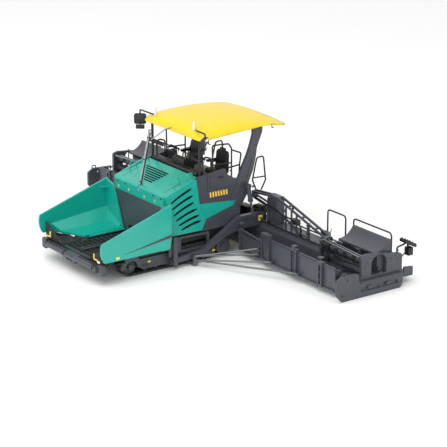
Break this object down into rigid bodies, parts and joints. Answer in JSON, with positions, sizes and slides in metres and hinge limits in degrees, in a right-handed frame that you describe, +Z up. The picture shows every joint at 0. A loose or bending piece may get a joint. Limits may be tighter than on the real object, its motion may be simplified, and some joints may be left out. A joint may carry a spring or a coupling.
{
  "type": "scale model of a tracked asphalt paver",
  "caption": "Tracked asphalt paver scale model with fold-up hopper wings, augers, roofed platform and a wide screed on tow arms that lifts and extends.",
  "frame": {"origin": "on the floor under the centre of the bounding box at rest", "axes": "+X forward towards the hopper, +Y to the machine's left along the screed, +Z up"},
  "size_m": [0.1439, 0.2468, 0.0782],
  "materials": {
    "teal_paint": "gloss",
    "anthracite_paint": "satin",
    "black_plastic": "satin",
    "yellow_roof": "gloss",
    "bright_metal": "polished",
    "track_rubber": "matt",
    "lamp_lens": "gloss",
    "seat_vinyl": "matt"
  },
  "bodies": {
    "tractor": {"chassis_frame": "anthracite_paint", "engine_housing": "black_plastic", "hopper_rear_wall": "anthracite_paint", "hopper_floor": "anthracite_paint", "conveyor": "black_plastic", "hopper_apron": "black_plastic", "track_left": "track_rubber", "track_right": "track_rubber", "track_frame_left": "anthracite_paint", "track_frame_right": "anthracite_paint", "push_beam": "anthracite_paint", "hood": "teal_paint", "side_covers": "teal_paint", "rear_strips": "teal_paint", "lower_panels": "anthracite_paint", "platform_floor": "anthracite_paint", "platform_sides": "anthracite_paint", "rear_posts": "anthracite_paint", "front_posts": "black_plastic", "roof": "yellow_roof", "control_console": "black_plastic", "seat_left": "seat_vinyl", "seat_right": "seat_vinyl", "platform_rails": "black_plastic", "mirrors": "black_plastic", "work_lamps": "lamp_lens", "exhaust_pipe": "bright_metal", "rear_ladder": "anthracite_paint", "levelling_cylinders": "anthracite_paint", "auger_carrier": "anthracite_paint", "tunnel_plates": "anthracite_paint", "tie_rods": "bright_metal"},
    "wing_left": {"hopper_wing_left": "teal_paint"},
    "wing_right": {"hopper_wing_right": "teal_paint"},
    "roller_left": {"push_roller_left": "anthracite_paint"},
    "roller_right": {"push_roller_right": "anthracite_paint"},
    "auger_left_rotor": {"auger_left": "anthracite_paint"},
    "auger_right_rotor": {"auger_right": "anthracite_paint"},
    "screed": {"tow_arms": "anthracite_paint", "screed_main": "anthracite_paint", "screed_walkway": "anthracite_paint", "screed_trusses": "anthracite_paint", "end_units": "anthracite_paint", "screed_rails": "black_plastic"},
    "extension_left_body": {"extension_left": "anthracite_paint", "end_plate_left": "anthracite_paint", "controls_left": "black_plastic"},
    "extension_right_body": {"extension_right": "anthracite_paint", "end_plate_right": "anthracite_paint", "controls_right": "black_plastic"},
    "lift_barrel_left_body": {"lift_barrel_left": "anthracite_paint"},
    "lift_barrel_right_body": {"lift_barrel_right": "anthracite_paint"},
    "lift_rod_left_body": {"lift_rod_left": "bright_metal"},
    "lift_rod_right_body": {"lift_rod_right": "bright_metal"}
  },
  "joints": [
    {"name": "wing_left_fold", "type": "hinge", "parent": "tractor", "child": "wing_left", "pos_m": [0.045, 0.0156, 0.0122], "axis": [1, 0, 0], "range_deg": [0, 50]},
    {"name": "wing_right_fold", "type": "hinge", "parent": "tractor", "child": "wing_right", "pos_m": [0.045, -0.0156, 0.0122], "axis": [-1, 0, 0], "range_deg": [0, 50]},
    {"name": "push_roller_left_spin", "type": "hinge", "parent": "tractor", "child": "roller_left", "pos_m": [0.0704, 0.016, 0.0096], "axis": [0, 1, 0], "continuous": true},
    {"name": "push_roller_right_spin", "type": "hinge", "parent": "tractor", "child": "roller_right", "pos_m": [0.0704, -0.016, 0.0096], "axis": [0, 1, 0], "continuous": true},
    {"name": "auger_left_spin", "type": "hinge", "parent": "tractor", "child": "auger_left_rotor", "pos_m": [-0.027, 0.05, 0.0084], "axis": [0, 1, 0], "continuous": true},
    {"name": "auger_right_spin", "type": "hinge", "parent": "tractor", "child": "auger_right_rotor", "pos_m": [-0.027, -0.05, 0.0084], "axis": [0, 1, 0], "continuous": true},
    {"name": "screed_lift", "type": "hinge", "parent": "tractor", "child": "screed", "pos_m": [0.0217, 0, 0.0044], "axis": [0, 1, 0], "range_deg": [0, 6]},
    {"name": "extension_left_slide", "type": "slide", "parent": "screed", "child": "extension_left_body", "axis": [0, 1, 0], "range_m": [0, 0.014]},
    {"name": "extension_right_slide", "type": "slide", "parent": "screed", "child": "extension_right_body", "axis": [0, -1, 0], "range_m": [0, 0.014]},
    {"name": "lift_barrel_left_swing", "type": "hinge", "parent": "tractor", "child": "lift_barrel_left_body", "pos_m": [-0.029, 0.028, 0.0385], "axis": [0, 1, 0], "range_deg": [-6.36, 0]},
    {"name": "lift_rod_left_slide", "type": "slide", "parent": "lift_barrel_left_body", "child": "lift_rod_left_body", "axis": [0.1854, 0, 0.9827], "range_m": [0, 0.00579]},
    {"name": "lift_barrel_right_swing", "type": "hinge", "parent": "tractor", "child": "lift_barrel_right_body", "pos_m": [-0.029, -0.028, 0.0385], "axis": [0, 1, 0], "range_deg": [-6.36, 0]},
    {"name": "lift_rod_right_slide", "type": "slide", "parent": "lift_barrel_right_body", "child": "lift_rod_right_body", "axis": [0.1854, 0, 0.9827], "range_m": [0, 0.00579]}
  ],
  "couplings": [
    {"joint": "lift_barrel_left_swing", "follows": "screed_lift", "ratio": -1.0436},
    {"joint": "lift_rod_left_slide", "follows": "screed_lift", "m_per_rad": 0.055033},
    {"joint": "lift_barrel_right_swing", "follows": "screed_lift", "ratio": -1.0436},
    {"joint": "lift_rod_right_slide", "follows": "screed_lift", "m_per_rad": 0.055033}
  ]
}
